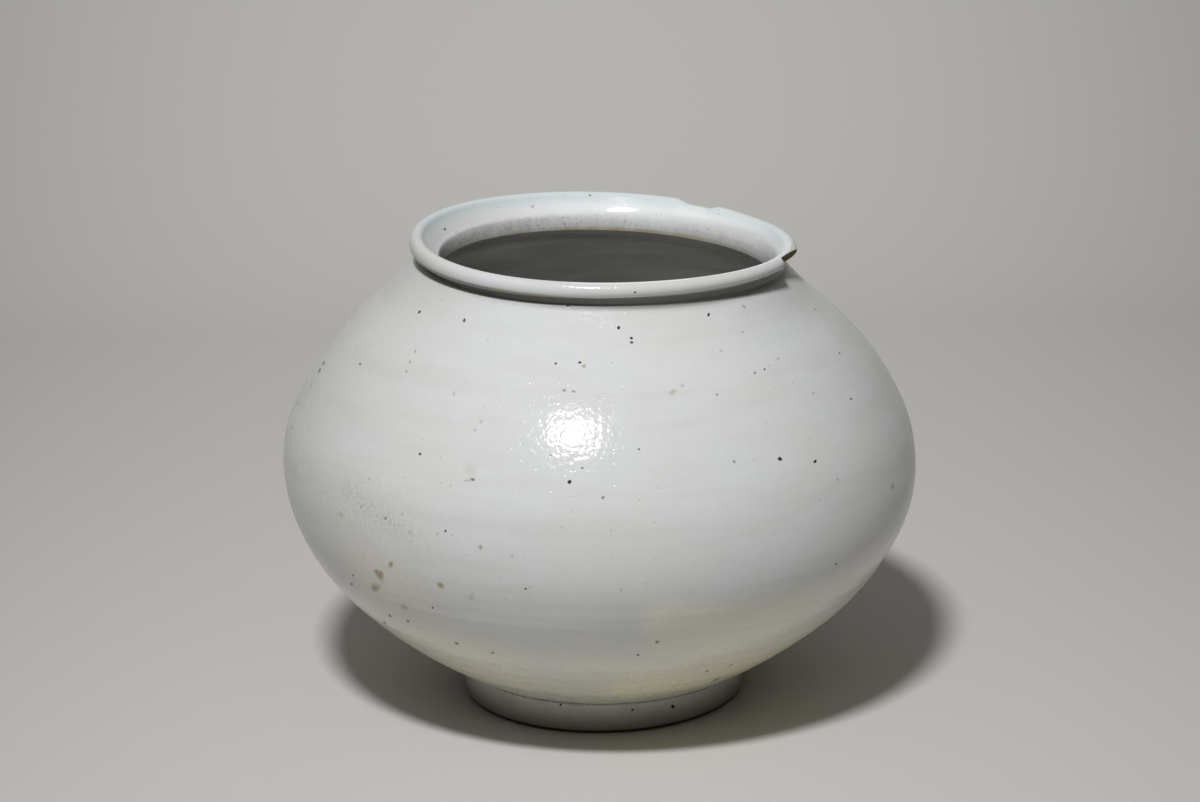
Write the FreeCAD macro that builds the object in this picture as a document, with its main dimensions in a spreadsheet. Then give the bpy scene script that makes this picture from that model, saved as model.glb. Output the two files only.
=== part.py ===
import FreeCAD, Part
import Sketcher
import os
import re

# A white porcelain moon jar. Two thrown bowls are luted mouth to mouth at the belly, a ring is luted
# under the lower one as a foot, and a collar with a folded lip is luted on the upper one. A clear glaze
# coats all but the edge that the jar stands on. The bowls, the collar and the lip lean a little
# over the level foot, as the jar settled in the kiln. Their heights are counted from the belly, along
# their own axis. Radii and heights are those of the glazed surface unless a note says clay.

DRIVING = [
    ("belly_radius", 135.0, "widest radius, at the joint of the two bowls"),
    ("lean_angle", 2.5, "degrees that the bowls, the collar and the lip lean"),
    ("lean_heading", 15.0, "degrees from +X towards +Y of the side that they lean to"),
    ("crown_arc", 54.3, "outline radius from the belly upwards"),
    ("crown_angle", 24.2, "degrees from upright where the crown arc ends"),
    ("shoulder_arc", 128.7, "outline radius over the shoulder"),
    ("cove_arc", 152.0, "hollow outline radius from the shoulder to the collar"),
    ("cove_width", 19.4, "how far outside the collar the hollow outline starts"),
    ("keel_arc", 60.2, "outline radius from the belly downwards"),
    ("keel_angle", 21.7, "degrees from upright where the keel arc ends"),
    ("flank_arc", 97.6, "outline radius of the lower flank"),
    ("flank_angle", 46.9, "degrees from upright where the flank arc ends"),
    ("base_arc", 216.3, "outline radius from the lower flank to the foot"),
    ("wall", 6.8, "clay thickness of both bowls"),
    ("glaze", 0.4, "thickness of every coat of glaze"),
    ("seam_gap", 1.0, "thickness of the slip between the two bowls"),
    ("key_drop", 1.6, "depth of the groove in the lower rim that the upper rim is cut to fit"),
    ("ridge_half", 4.0, "half the height of the slip wiped along the inside of that joint"),
    ("ridge_rise", 1.2, "how far that slip stands in"),
    ("collar_radius", 76.5, "outside of the collar"),
    ("collar_wall", 5.2, "thickness of the collar at its narrowest"),
    ("collar_rise", 4.15, "upright part of the collar's outside, under the lip"),
    ("throat_height", 1.0, "upright part of the collar's inside, over the mouth of the upper bowl"),
    ("neck_slip_gap", 0.8, "thickness of the slip under the collar"),
    ("lip_overhang", 4.7, "how far the folded lip stands out from the collar"),
    ("roll_radius", 3.2, "radius of the folded lip's round section"),
    ("foot_radius", 60.4, "outside of the foot at the ground"),
    ("foot_flare", 1.5, "how much wider the foot is at its top"),
    ("foot_height", 14.1, "height of the foot's outside"),
    ("foot_width", 8.4, "width of the foot ring at the ground, clay"),
    ("foot_bevel", 1.0, "bevel along both edges of the face that the jar stands on"),
    ("foot_slip_gap", 1.4, "upright thickness of the slip on the foot ring"),
    ("bare_band", 1.8, "height of the foot that is wiped free of glaze"),
    ("well_depth", 11.6, "depth of the hollow under the base, clay"),
    ("base_wall", 9.0, "thickness of the base, clay"),
    ("chip_heading", -11.5, "degrees from +X of the broken chip in the lip"),
    ("chip_tilt", 32.0, "degrees over level of the way from which the chip was struck"),
    ("chip_arc", 34.0, "radius of the chip's hollow face"),
    ("chip_bite", 3.2, "how deep the chip goes into the lip"),
    ("notch_heading", 57.0, "degrees from +X of the worn notch in the lip"),
    ("notch_half", 11.0, "half the length of the worn notch"),
    ("notch_drop", 1.9, "depth of the worn notch"),
    ("overrun", 8.0, "how far a cutting shape passes beyond what it cuts"),
]

# What follows from the driving sizes: the centres of the outline's arcs, which run into each other
# without a corner, and the heights where the pieces meet.
DERIVED = [
    ("inside", "glaze + wall"),
    ("crown_out", "belly_radius - crown_arc"),
    ("shoulder_out", "crown_out + (crown_arc - shoulder_arc) * cos(crown_angle)"),
    ("shoulder_up", "(crown_arc - shoulder_arc) * sin(crown_angle)"),
    ("cove_cos", "(collar_radius + cove_width - shoulder_out) / shoulder_arc"),
    ("cove_sin", "sqrt(1 - cove_cos ^ 2)"),
    ("cove_out", "shoulder_out + (shoulder_arc + cove_arc) * cove_cos"),
    ("cove_up", "shoulder_up + (shoulder_arc + cove_arc) * cove_sin"),
    ("keel_out", "belly_radius - keel_arc"),
    ("flank_out", "keel_out + (keel_arc - flank_arc) * cos(keel_angle)"),
    ("flank_up", "(flank_arc - keel_arc) * sin(keel_angle)"),
    ("base_out", "flank_out + (flank_arc - base_arc) * cos(flank_angle)"),
    ("base_up", "flank_up + (base_arc - flank_arc) * sin(flank_angle)"),
    ("foot_top_radius", "foot_radius + foot_flare"),
    ("foot_inner_radius", "foot_radius - glaze - foot_width"),
    ("belly_height", "foot_height + sqrt(base_arc ^ 2 - (foot_top_radius - base_out) ^ 2) - base_up"),
    ("base_drop", "belly_height - well_depth + foot_inner_radius * sin(lean_angle)"),
    ("floor_drop", "belly_height - well_depth - base_wall"),
    ("seam_half", "seam_gap / 2"),
    ("key_radius", "belly_radius - glaze - wall / 2"),
    ("ridge_arc", "(ridge_half ^ 2 + ridge_rise ^ 2) / (2 * ridge_rise)"),
    ("throat_radius", "collar_radius - collar_wall"),
    ("mouth_rise", "cove_up - sqrt((cove_arc + inside) ^ 2 - (cove_out - throat_radius - glaze) ^ 2)"),
    ("neck_rise", "mouth_rise + neck_slip_gap"),
    ("throat_rise", "mouth_rise + throat_height"),
    ("fold_rise", "cove_up - sqrt(cove_arc ^ 2 - (cove_out - collar_radius) ^ 2) + collar_rise"),
    ("roll_out", "collar_radius + lip_overhang - roll_radius"),
    ("roll_up", "fold_rise + sqrt((roll_radius - glaze) ^ 2 - (roll_out - collar_radius + glaze) ^ 2)"),
    ("flare_arc", "((roll_out - throat_radius) ^ 2 + (roll_up - throat_rise) ^ 2 - roll_radius ^ 2)"
                  " / (2 * (roll_out - throat_radius - roll_radius))"),
    ("flare_out", "throat_radius + flare_arc"),
    ("flare_span", "flare_arc - roll_radius"),
    ("well_radius", "foot_inner_radius"),
    ("chip_out", "roll_out + (roll_radius - chip_bite + chip_arc) * cos(chip_tilt)"),
    ("chip_up", "roll_up + (roll_radius - chip_bite + chip_arc) * sin(chip_tilt)"),
    ("notch_arc", "(notch_half ^ 2 + notch_drop ^ 2) / (2 * notch_drop)"),
    ("notch_up", "roll_up + roll_radius - notch_drop + notch_arc"),
]

doc = FreeCAD.newDocument("moon_jar")
sizes = doc.addObject("Spreadsheet::Sheet", "sizes")
for row, (name, number, note) in enumerate(DRIVING, 1):
    sizes.set("A%d" % row, name)
    sizes.set("B%d" % row, str(number))
    sizes.set("C%d" % row, note)
    sizes.setAlias("B%d" % row, name)
NAMES = [entry[0] for entry in DRIVING + DERIVED]


def bound(formula):
    # the formula with each of its sizes looked up in the sheet
    return re.sub(r"[a-z_]+", lambda word: ("sizes." if word[0] in NAMES else "") + word[0], formula)


for row, (name, formula) in enumerate(DERIVED, len(DRIVING) + 1):
    sizes.set("A%d" % row, name)
    sizes.set("B%d" % row, "=" + formula)
    sizes.setAlias("B%d" % row, name)
    doc.recompute()


def number_of(formula):
    return float(sizes.evalExpression(bound(formula)))


# Corners of the section, as formulas for (out from the axis, up from the belly). The depth is counted
# square to the glazed surface, into the wall.

def crown_at(depth, up):
    return "crown_out + sqrt((crown_arc - (%s)) ^ 2 - (%s) ^ 2)" % (depth, up), up


def crown_end(depth):
    return ("crown_out + (crown_arc - (%s)) * cos(crown_angle)" % depth,
            "(crown_arc - (%s)) * sin(crown_angle)" % depth)


def shoulder_end(depth):
    return ("shoulder_out + (shoulder_arc - (%s)) * cove_cos" % depth,
            "shoulder_up + (shoulder_arc - (%s)) * cove_sin" % depth)


def cove_over(depth, out):
    return out, "cove_up - sqrt((cove_arc + %s) ^ 2 - (cove_out - (%s)) ^ 2)" % (depth, out)


def cove_at(depth, up):
    return "cove_out - sqrt((cove_arc + %s) ^ 2 - (cove_up - (%s)) ^ 2)" % (depth, up), up


def keel_at(depth, up):
    return "keel_out + sqrt((keel_arc - (%s)) ^ 2 - (%s) ^ 2)" % (depth, up), up


def keel_end(depth):
    return ("keel_out + (keel_arc - (%s)) * cos(keel_angle)" % depth,
            "(%s - keel_arc) * sin(keel_angle)" % depth)


def flank_end(depth):
    return ("flank_out + (flank_arc - (%s)) * cos(flank_angle)" % depth,
            "flank_up - (flank_arc - (%s)) * sin(flank_angle)" % depth)


def base_at(depth, up):
    return "base_out + sqrt((base_arc - (%s)) ^ 2 - (base_up - (%s)) ^ 2)" % (depth, up), up


def flare_at(depth, up):
    return "flare_out - sqrt((flare_arc - %s) ^ 2 - (%s - throat_rise) ^ 2)" % (depth, up), up


def roll_start(depth):
    # where the lip's round section leaves the collar's outside
    return ("collar_radius - %s" % depth,
            "roll_up - sqrt((roll_radius - %s) ^ 2 - (roll_out - collar_radius + %s) ^ 2)" % (depth, depth))


def roll_side(depth):
    return "roll_out + roll_radius - %s" % depth, "roll_up"


def roll_end(depth):
    # where the lip's round section runs into the flared inside
    return ("roll_out + (roll_radius - %s) * (roll_out - flare_out) / flare_span" % depth,
            "roll_up + (roll_radius - %s) * (roll_up - throat_rise) / flare_span" % depth)


# Sides of the section. Between two corners stands either a straight side, or an arc of the given
# radius that swells away from the axis or towards it.
STRAIGHT = ("straight", None)


def away(radius):
    return "away", radius


def inward(radius):
    return "inward", radius


def lower_side(depth, first, last):
    # from the belly down to the base
    return [first, away("keel_arc - (%s)" % depth), keel_end(depth), away("flank_arc - (%s)" % depth),
            flank_end(depth), away("base_arc - (%s)" % depth), last]


def upper_side(depth, first, last):
    # from the belly up to the collar
    return [first, away("crown_arc - (%s)" % depth), crown_end(depth), away("shoulder_arc - (%s)" % depth),
            shoulder_end(depth), inward("cove_arc + %s" % depth), last]


def lip_side(depth):
    # from the collar's outside round the lip to the flared inside
    return [roll_start(depth), away("roll_radius - %s" % depth), roll_side(depth),
            away("roll_radius - %s" % depth), roll_end(depth)]


def drawn_arc(start, end, sense, radius):
    # the arc of less than half a turn between two corners, and whether it runs round from start to end
    middle = (start + end) / 2
    half = start.distanceToPoint(end) / 2
    square = FreeCAD.Vector(start.y - end.y, end.x - start.x, 0).normalize()
    if (square.x > 0) != (sense == "away"):
        square = -square
    centre = middle - square * (radius ** 2 - half ** 2) ** 0.5
    onward = (start - centre).cross(end - centre).z > 0
    first, last = (start, end) if onward else (end, start)
    circle = Part.Circle(centre, FreeCAD.Vector(0, 0, 1), radius)
    return Part.ArcOfCircle(circle, circle.parameter(first), circle.parameter(last)), onward


def turned(label, outline):
    # one piece turned about the axis: its outline goes round as corner, side, corner, side
    corners = outline[0::2]
    sides = outline[1::2]
    body = doc.addObject("PartDesign::Body", label)
    sketch = body.newObject("Sketcher::SketchObject", label + "_outline")
    sketch.AttachmentSupport = [(plane, "") for plane in body.Origin.OriginFeatures if plane.Role == "XZ_Plane"]
    sketch.MapMode = "FlatFace"
    places = [FreeCAD.Vector(number_of(out), number_of(up), 0) for out, up in corners]
    starts = []
    for index, (sense, radius) in enumerate(sides):
        start = places[index]
        end = places[(index + 1) % len(places)]
        if sense == "straight":
            sketch.addGeometry(Part.LineSegment(start, end), False)
            starts.append((1, 2))
        else:
            arc, onward = drawn_arc(start, end, sense, number_of(radius))
            sketch.addGeometry(arc, False)
            starts.append((1, 2) if onward else (2, 1))
    for index, (sense, radius) in enumerate(sides):
        after = (index + 1) % len(sides)
        sketch.addConstraint(Sketcher.Constraint("Coincident", index, starts[index][1], after, starts[after][0]))
        for kind, formula, number, axis in (("DistanceX", corners[index][0], places[index].x, -2),
                                            ("DistanceY", corners[index][1], places[index].y, -1)):
            if formula == "0":
                sketch.addConstraint(Sketcher.Constraint("PointOnObject", index, starts[index][0], axis))
            else:
                made = sketch.addConstraint(Sketcher.Constraint(kind, -1, 1, index, starts[index][0], number))
                sketch.setExpression("Constraints[%d]" % made, bound(formula))
        if sense != "straight":
            made = sketch.addConstraint(Sketcher.Constraint("Radius", index, number_of(radius)))
            sketch.setExpression("Constraints[%d]" % made, bound(radius))
    spun = body.newObject("PartDesign::Revolution", label + "_turned")
    spun.Profile = sketch
    spun.ReferenceAxis = (sketch, ["V_Axis"])
    spun.Angle = 360.0
    return body


def lean(piece, drop="0"):
    # set a piece on the leaning axis, with its belly over the middle of the foot
    piece.setExpression("Placement.Base.z", bound("belly_height - " + drop))
    piece.setExpression("Placement.Rotation.Axis.x", bound("-sin(lean_heading)"))
    piece.setExpression("Placement.Rotation.Axis.y", bound("cos(lean_heading)"))
    piece.setExpression("Placement.Rotation.Axis.z", "0")
    piece.setExpression("Placement.Rotation.Angle", bound("lean_angle"))
    return piece


def cut(label, base, tool):
    made = doc.addObject("Part::Cut", label)
    made.Base = base
    made.Tool = tool
    return made


# The lower bowl, its base hollowed level inside the foot ring.
below_seam = keel_at("glaze", "-seam_half")
key_bottom = ("key_radius", "-seam_half - key_drop")
lower_outside = lower_side("glaze", below_seam, base_at("glaze", "-base_drop"))
lower_inside = lower_side("inside", keel_at("inside", "-seam_half"), base_at("inside", "-floor_drop"))
thrown_lower = lean(turned("thrown_lower_bowl", lower_outside + [
    STRAIGHT, ("0", "-base_drop"), STRAIGHT, ("0", "-floor_drop"), STRAIGHT]
    + lower_inside[::-1] + [STRAIGHT, key_bottom, STRAIGHT]))
well = doc.addObject("Part::Cylinder", "well")
well.setExpression("Radius", bound("well_radius"))
well.setExpression("Height", bound("well_depth + overrun"))
well.setExpression("Placement.Base.z", bound("-overrun"))
lower_bowl = cut("lower_bowl", thrown_lower, well)

# The upper bowl, thrown the same way and turned over. Its rim is cut to a ridge that fits the groove.
key_top = ("key_radius", "seam_half - key_drop")
upper_outside = upper_side("glaze", crown_at("glaze", "seam_half"), cove_at("glaze", "mouth_rise"))
upper_inside = upper_side("inside", crown_at("inside", "seam_half"), ("throat_radius + glaze", "mouth_rise"))
upper_bowl = lean(turned("upper_bowl", upper_outside + [STRAIGHT] + upper_inside[::-1]
                         + [STRAIGHT, key_top, STRAIGHT]))

# The slip in the joint of the bowls, wiped to a low ridge along the inside.
belly_slip = lean(turned("belly_slip", [
    keel_at("inside", "-ridge_half"), away("keel_arc - inside"), keel_at("inside", "-seam_half"), STRAIGHT,
    key_bottom, STRAIGHT, below_seam, STRAIGHT, crown_at("glaze", "seam_half"), STRAIGHT, key_top, STRAIGHT,
    crown_at("inside", "seam_half"), away("crown_arc - inside"), crown_at("inside", "ridge_half"),
    inward("ridge_arc")]))

# The collar, flared at its foot to carry on the shoulder's hollow outline, and the slip that it sits in.
neck_slip = lean(turned("neck_slip", [
    ("throat_radius + glaze", "mouth_rise"), STRAIGHT, cove_at("glaze", "mouth_rise"),
    inward("cove_arc + glaze"), cove_at("glaze", "neck_rise"), STRAIGHT,
    ("throat_radius + glaze", "neck_rise"), STRAIGHT]))
neck_collar = lean(turned("neck_collar", [
    ("throat_radius + glaze", "neck_rise"), STRAIGHT, cove_at("glaze", "neck_rise"),
    inward("cove_arc + glaze"), cove_over("glaze", "collar_radius - glaze"), STRAIGHT,
    ("collar_radius - glaze", "fold_rise"), STRAIGHT, flare_at("glaze", "fold_rise"),
    inward("flare_arc - glaze"), ("throat_radius + glaze", "throat_rise"), STRAIGHT]))

# The folded lip on the collar, with the chip that was struck out of it and the notch worn into it.
thrown_lip = lean(turned("thrown_lip", lip_side("glaze") + [
    inward("flare_arc - glaze"), flare_at("glaze", "fold_rise"), STRAIGHT]))
chip = doc.addObject("Part::Sphere", "chip")
chip.setExpression("Radius", bound("chip_arc"))
chip.setExpression("Placement.Base.x", bound("chip_out * cos(chip_heading)"))
chip.setExpression("Placement.Base.y", bound("chip_out * sin(chip_heading)"))
chip.setExpression("Placement.Base.z", bound("belly_height + chip_up + chip_out * sin(lean_angle)"
                                             " * -cos(chip_heading - lean_heading)"))
notch = doc.addObject("Part::Cylinder", "notch")
notch.setExpression("Radius", bound("notch_arc"))
notch.setExpression("Height", bound("collar_radius + lip_overhang + overrun"))
notch.setExpression("Placement.Base.z", bound("belly_height + notch_up"))
notch.setExpression("Placement.Rotation.Axis.x", bound("-sin(notch_heading)"))
notch.setExpression("Placement.Rotation.Axis.y", bound("cos(notch_heading)"))
notch.setExpression("Placement.Rotation.Axis.z", "0")
notch.setExpression("Placement.Rotation.Angle",
                    bound("90 + lean_angle * cos(notch_heading - lean_heading)"))
damage = doc.addObject("Part::Fuse", "damage")
damage.Base = chip
damage.Tool = notch
lip_coil = cut("lip_coil", thrown_lip, damage)

# The foot ring, hollowed on top to the lower bowl's underside, and the slip between them.
ring_blank = turned("ring_blank", [
    ("foot_inner_radius + foot_bevel", "0"), STRAIGHT, ("foot_radius - glaze - foot_bevel", "0"), STRAIGHT,
    ("foot_radius - glaze + foot_flare * foot_bevel / foot_height", "foot_bevel"), STRAIGHT,
    ("foot_radius - glaze + foot_flare * (foot_height + overrun) / foot_height", "foot_height + overrun"),
    STRAIGHT, ("foot_inner_radius", "foot_height + overrun"), STRAIGHT,
    ("foot_inner_radius", "foot_bevel"), STRAIGHT])


def underside(label, drop):
    # all that lies within the lower bowl's outside, lowered by the drop
    return lean(turned(label, lower_side("glaze", ("belly_radius - glaze", "0"), base_at("glaze", "-base_drop"))
                       + [STRAIGHT, ("0", "-base_drop"), STRAIGHT, ("0", "0"), STRAIGHT]), drop)


bowl_form = underside("bowl_form", "0")
foot_ring = cut("foot_ring", ring_blank, underside("lowered_bowl_form", "foot_slip_gap"))
foot_slip = cut("foot_slip", cut("ring_and_slip", ring_blank, bowl_form), foot_ring)

# The coats of glaze: outside from the foot's bare band to the top of the lip, inside from there down
# over the floor, and in the hollow under the base.
body_coat = lean(turned("body_coat",
    lower_side("0", ("belly_radius", "0"), base_at("0", "-base_drop"))[::-1]
    + upper_side("0", ("belly_radius", "0"), cove_over("0", "collar_radius"))[1:]
    + [STRAIGHT] + lip_side("0") + [STRAIGHT] + lip_side("glaze")[::-1] + [STRAIGHT]
    + upper_side("glaze", ("belly_radius - glaze", "0"), cove_over("glaze", "collar_radius - glaze"))[::-1]
    + lower_side("glaze", ("belly_radius - glaze", "0"), base_at("glaze", "-base_drop"))[1:] + [STRAIGHT]))
foot_form = turned("foot_form", [
    ("0", "-overrun"), STRAIGHT, ("foot_radius - foot_flare * overrun / foot_height", "-overrun"), STRAIGHT,
    ("foot_radius + foot_flare * (foot_height + overrun) / foot_height", "foot_height + overrun"), STRAIGHT,
    ("0", "foot_height + overrun"), STRAIGHT])
foot_coat = turned("foot_coat", [
    ("foot_radius - glaze + foot_flare * bare_band / foot_height", "bare_band"), STRAIGHT,
    ("foot_radius + foot_flare * bare_band / foot_height", "bare_band"), STRAIGHT,
    ("foot_radius + foot_flare * (foot_height + overrun) / foot_height", "foot_height + overrun"), STRAIGHT,
    ("foot_radius - glaze + foot_flare * (foot_height + overrun) / foot_height", "foot_height + overrun"),
    STRAIGHT])
outer_coat = doc.addObject("Part::Fuse", "outer_coat")
outer_coat.Base = cut("body_coat_over_foot", body_coat, foot_form)
outer_coat.Tool = cut("foot_coat_under_bowl", foot_coat, bowl_form)
outer_glaze = cut("outer_glaze", outer_coat, damage)

coat_inside = "inside + glaze"
lower_coat = lower_side(coat_inside, keel_at(coat_inside, "-ridge_half"),
                        base_at(coat_inside, "glaze - floor_drop"))
upper_coat = upper_side(coat_inside, crown_at(coat_inside, "ridge_half"),
                        cove_over(coat_inside, "throat_radius"))
lower_clay = lower_side("inside", keel_at("inside", "-ridge_half"), base_at("inside", "-floor_drop"))
upper_clay = upper_side("inside", crown_at("inside", "ridge_half"), ("throat_radius + glaze", "mouth_rise"))
poured_coat = lean(turned("poured_coat", [roll_end("glaze"), inward("flare_arc - glaze"),
    ("throat_radius + glaze", "throat_rise"), STRAIGHT] + upper_clay[::-1] + [inward("ridge_arc")]
    + lower_clay + [STRAIGHT, ("0", "-floor_drop"), STRAIGHT, ("0", "glaze - floor_drop"), STRAIGHT]
    + lower_coat[::-1] + [inward("ridge_arc")] + upper_coat + [STRAIGHT, ("throat_radius", "throat_rise"),
    inward("flare_arc"), roll_end("0"), STRAIGHT]))
inner_glaze = cut("inner_glaze", poured_coat, damage)

foot_well_glaze = turned("foot_well_glaze", [
    ("0", "well_depth"), STRAIGHT, ("foot_inner_radius", "well_depth"), STRAIGHT,
    ("foot_inner_radius", "bare_band"), STRAIGHT, ("foot_inner_radius - glaze", "bare_band"), STRAIGHT,
    ("foot_inner_radius - glaze", "well_depth - glaze"), STRAIGHT, ("0", "well_depth - glaze"), STRAIGHT])

doc.recompute()

PIECES = [foot_ring, foot_slip, lower_bowl, belly_slip, upper_bowl, neck_slip, neck_collar, lip_coil,
          outer_glaze, inner_glaze, foot_well_glaze]
for made in doc.Objects:
    if "Invalid" in made.State or "Error" in made.State:
        raise RuntimeError("%s failed: %s" % (made.Label, made.State))
for piece in PIECES:
    if piece.Shape.isNull() or not piece.Shape.isValid() or len(piece.Shape.Solids) != 1:
        raise RuntimeError("%s is not one sound solid" % piece.Label)

os.makedirs("parts", exist_ok=True)
for piece in PIECES:
    piece.Shape.exportStep("parts/%s.step" % piece.Label)
    print("%-16s %10.1f mm3" % (piece.Label, piece.Shape.Volume))
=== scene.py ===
import math
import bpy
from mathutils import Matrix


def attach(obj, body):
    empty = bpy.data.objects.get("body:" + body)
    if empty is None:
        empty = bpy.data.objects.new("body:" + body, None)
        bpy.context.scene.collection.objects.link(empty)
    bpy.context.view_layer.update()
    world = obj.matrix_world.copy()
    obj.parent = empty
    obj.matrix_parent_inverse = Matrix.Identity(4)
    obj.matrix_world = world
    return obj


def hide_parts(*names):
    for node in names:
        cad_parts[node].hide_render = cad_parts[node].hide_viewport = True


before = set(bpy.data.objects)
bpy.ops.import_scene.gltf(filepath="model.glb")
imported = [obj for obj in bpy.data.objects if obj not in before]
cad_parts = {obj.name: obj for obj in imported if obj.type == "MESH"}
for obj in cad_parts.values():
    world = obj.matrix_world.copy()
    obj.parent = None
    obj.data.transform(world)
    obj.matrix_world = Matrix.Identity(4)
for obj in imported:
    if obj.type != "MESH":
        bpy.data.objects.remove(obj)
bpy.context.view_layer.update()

from types import SimpleNamespace

import bmesh
import bpy
import numpy as np
from mathutils import Matrix, Vector

scene = bpy.context.scene
mm = 0.001


def shownAs(name, data):
    made = bpy.data.objects.new(name, data)
    scene.collection.objects.link(made)
    return made


# Camera, set as the photograph was taken
viewer = {
    "place": (0.0006, -1.6270, 0.6356),  # metres
    "dip": 17.32,  # degrees under level
    "roll": -1.12,  # degrees about the line of sight
    "lens": 120,
    "sensor": 36,
    "width": 1200,  # pixels of the photograph
    "height": 802,
    "reach": 50,  # metres, no further is seen
}
cameraData = bpy.data.cameras.new("viewer")
cameraData.lens = viewer["lens"]
cameraData.sensor_width = viewer["sensor"]
cameraData.clip_end = viewer["reach"]
camera = shownAs("viewer", cameraData)
camera.matrix_world = (Matrix.Translation(viewer["place"])
                       @ Matrix.Rotation(math.radians(90 - viewer["dip"]), 4, "X")
                       @ Matrix.Rotation(math.radians(viewer["roll"]), 4, "Z"))
scene.camera = camera
scene.view_settings.view_transform = "Standard"


def pixelsOf(points):
    # where points (millimetres) fall in the photograph
    local = (points * mm - np.array(viewer["place"])) @ np.array(camera.matrix_world.to_3x3())
    focal = viewer["lens"] / viewer["sensor"] * viewer["width"]
    x = viewer["width"] / 2 - focal * local[..., 0] / local[..., 2]
    y = viewer["height"] / 2 + focal * local[..., 1] / local[..., 2]
    return x, y


print("camera set")

# The jar's outline, in millimetres and degrees, as its solids have it
jar = SimpleNamespace(
    bellyRadius=135, leanAngle=2.5, leanHeading=15,
    crownArc=54.3, crownAngle=24.2, shoulderArc=128.7, coveArc=152, coveWidth=19.4,
    keelArc=60.2, keelAngle=21.7, flankArc=97.6, flankAngle=46.9, baseArc=216.3,
    wall=6.8, glaze=0.4, ridgeHalf=4, ridgeRise=1.2,
    collarRadius=76.5, collarWall=5.2, collarRise=4.15, throatHeight=1, lipOverhang=4.7, rollRadius=3.2,
    footRadius=60.4, footFlare=1.5, footHeight=14.1, bareBand=1.8, wellDepth=11.6, baseWall=9,
)


def sind(angle):
    return math.sin(math.radians(angle))


def cosd(angle):
    return math.cos(math.radians(angle))


# Centres of the arcs, each of which runs into the next without a corner
jar.inside = jar.glaze + jar.wall
jar.crownOut = jar.bellyRadius - jar.crownArc
jar.shoulderOut = jar.crownOut + (jar.crownArc - jar.shoulderArc) * cosd(jar.crownAngle)
jar.shoulderUp = (jar.crownArc - jar.shoulderArc) * sind(jar.crownAngle)
jar.coveAngle = math.degrees(math.acos((jar.collarRadius + jar.coveWidth - jar.shoulderOut)
                                       / jar.shoulderArc))
jar.coveOut = jar.shoulderOut + (jar.shoulderArc + jar.coveArc) * cosd(jar.coveAngle)
jar.coveUp = jar.shoulderUp + (jar.shoulderArc + jar.coveArc) * sind(jar.coveAngle)
jar.keelOut = jar.bellyRadius - jar.keelArc
jar.flankOut = jar.keelOut + (jar.keelArc - jar.flankArc) * cosd(jar.keelAngle)
jar.flankUp = (jar.flankArc - jar.keelArc) * sind(jar.keelAngle)
jar.baseOut = jar.flankOut + (jar.flankArc - jar.baseArc) * cosd(jar.flankAngle)
jar.baseUp = jar.flankUp + (jar.baseArc - jar.flankArc) * sind(jar.flankAngle)
jar.bellyHeight = (jar.footHeight - jar.baseUp
                   + math.sqrt(jar.baseArc ** 2 - (jar.footRadius + jar.footFlare - jar.baseOut) ** 2))
jar.throatRadius = jar.collarRadius - jar.collarWall


def onCove(depth, radius):
    # rise of the cove at a radius and a depth under its skin
    return jar.coveUp - math.sqrt((jar.coveArc + depth) ** 2 - (jar.coveOut - radius) ** 2)


jar.mouthRise = onCove(jar.inside, jar.throatRadius + jar.glaze)
jar.throatRise = jar.mouthRise + jar.throatHeight
jar.collarFoot = onCove(0, jar.collarRadius)
jar.foldRise = jar.collarFoot + jar.collarRise
jar.rollOut = jar.collarRadius + jar.lipOverhang - jar.rollRadius
jar.rollUp = jar.foldRise + math.sqrt((jar.rollRadius - jar.glaze) ** 2
                                      - (jar.rollOut - jar.collarRadius + jar.glaze) ** 2)
jar.flareWidth = jar.rollOut - jar.throatRadius
jar.flareArc = ((jar.flareWidth ** 2 + (jar.rollUp - jar.throatRise) ** 2 - jar.rollRadius ** 2)
                / (2 * (jar.flareWidth - jar.rollRadius)))
jar.flareOut = jar.throatRadius + jar.flareArc
jar.flareAngle = math.degrees(math.atan2(jar.rollUp - jar.throatRise, jar.rollOut - jar.flareOut))
jar.floorDrop = jar.bellyHeight - jar.wellDepth - jar.baseWall
jar.crest = jar.rollUp + jar.rollRadius

# How the fired jar departs from a true round one, in millimetres unless named otherwise
wear = {
    "shoulderBulge": 1,  # right side fuller over the shoulder, left side flatter
    "flankBulge": -0.75,  # left side fuller under the belly
    "oval": (0.45, -0.28),  # lip's radius over twice round, cosine and sine
    "waveTwice": (-0.19, -0.63),  # lip's height over twice round
    "waveThrice": (-0.20, 0.09),  # and over three times round
    "dip": (0.8, 36, 18),  # lip lower by this, at and over these degrees
    "bandShare": 0.2,  # lip taller on the left and lower on the right by this share
    "bandTop": 0.8,  # up to this share of its round under the round's middle
    "ringDepth": 0.06,  # throwing rings in the lower bowl
    "ringPitch": 6.3,
    "ringTilt": 1.3,
    "ringWander": (0.9, 1),  # size and phase of their unevenness, in radians
    "throatShift": 3.3,  # throat nearer the axis on the left
    "neckShift": -0.9,  # neck and lip moved over to the left
    "bellyFlat": (0.12, 14),  # belly flatter by this, over this height
    "undercut": 2.6,  # wall thinned inside, under the throat
}

# Where these act, in millimetres over the belly's middle
zones = {
    "shoulder": (8, 30), "shoulderEnd": (45, 80), "shoulderFade": 0.85,
    "flank": (8, 40, 70, 92),  # downwards
    "neck": (62, 88),
    "throat": (66, 80, 88, 96),
    "undercut": (20, 50, 72, 82.4),
    "undercutDepth": (3, 7.5),  # inwards from the outside
    "axis": (5, 60),  # outwards from the axis
}


def eased(x, low, high):
    # 0 below low, 1 above high, and a smooth climb between
    t = np.clip((x - low) / (high - low), 0, 1)
    return t * t * (3 - 2 * t)


def within(x, start, full, fading, end):
    # climbs from start to full and falls from fading to end
    return eased(x, start, full) * (1 - eased(x, fading, end))


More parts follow.
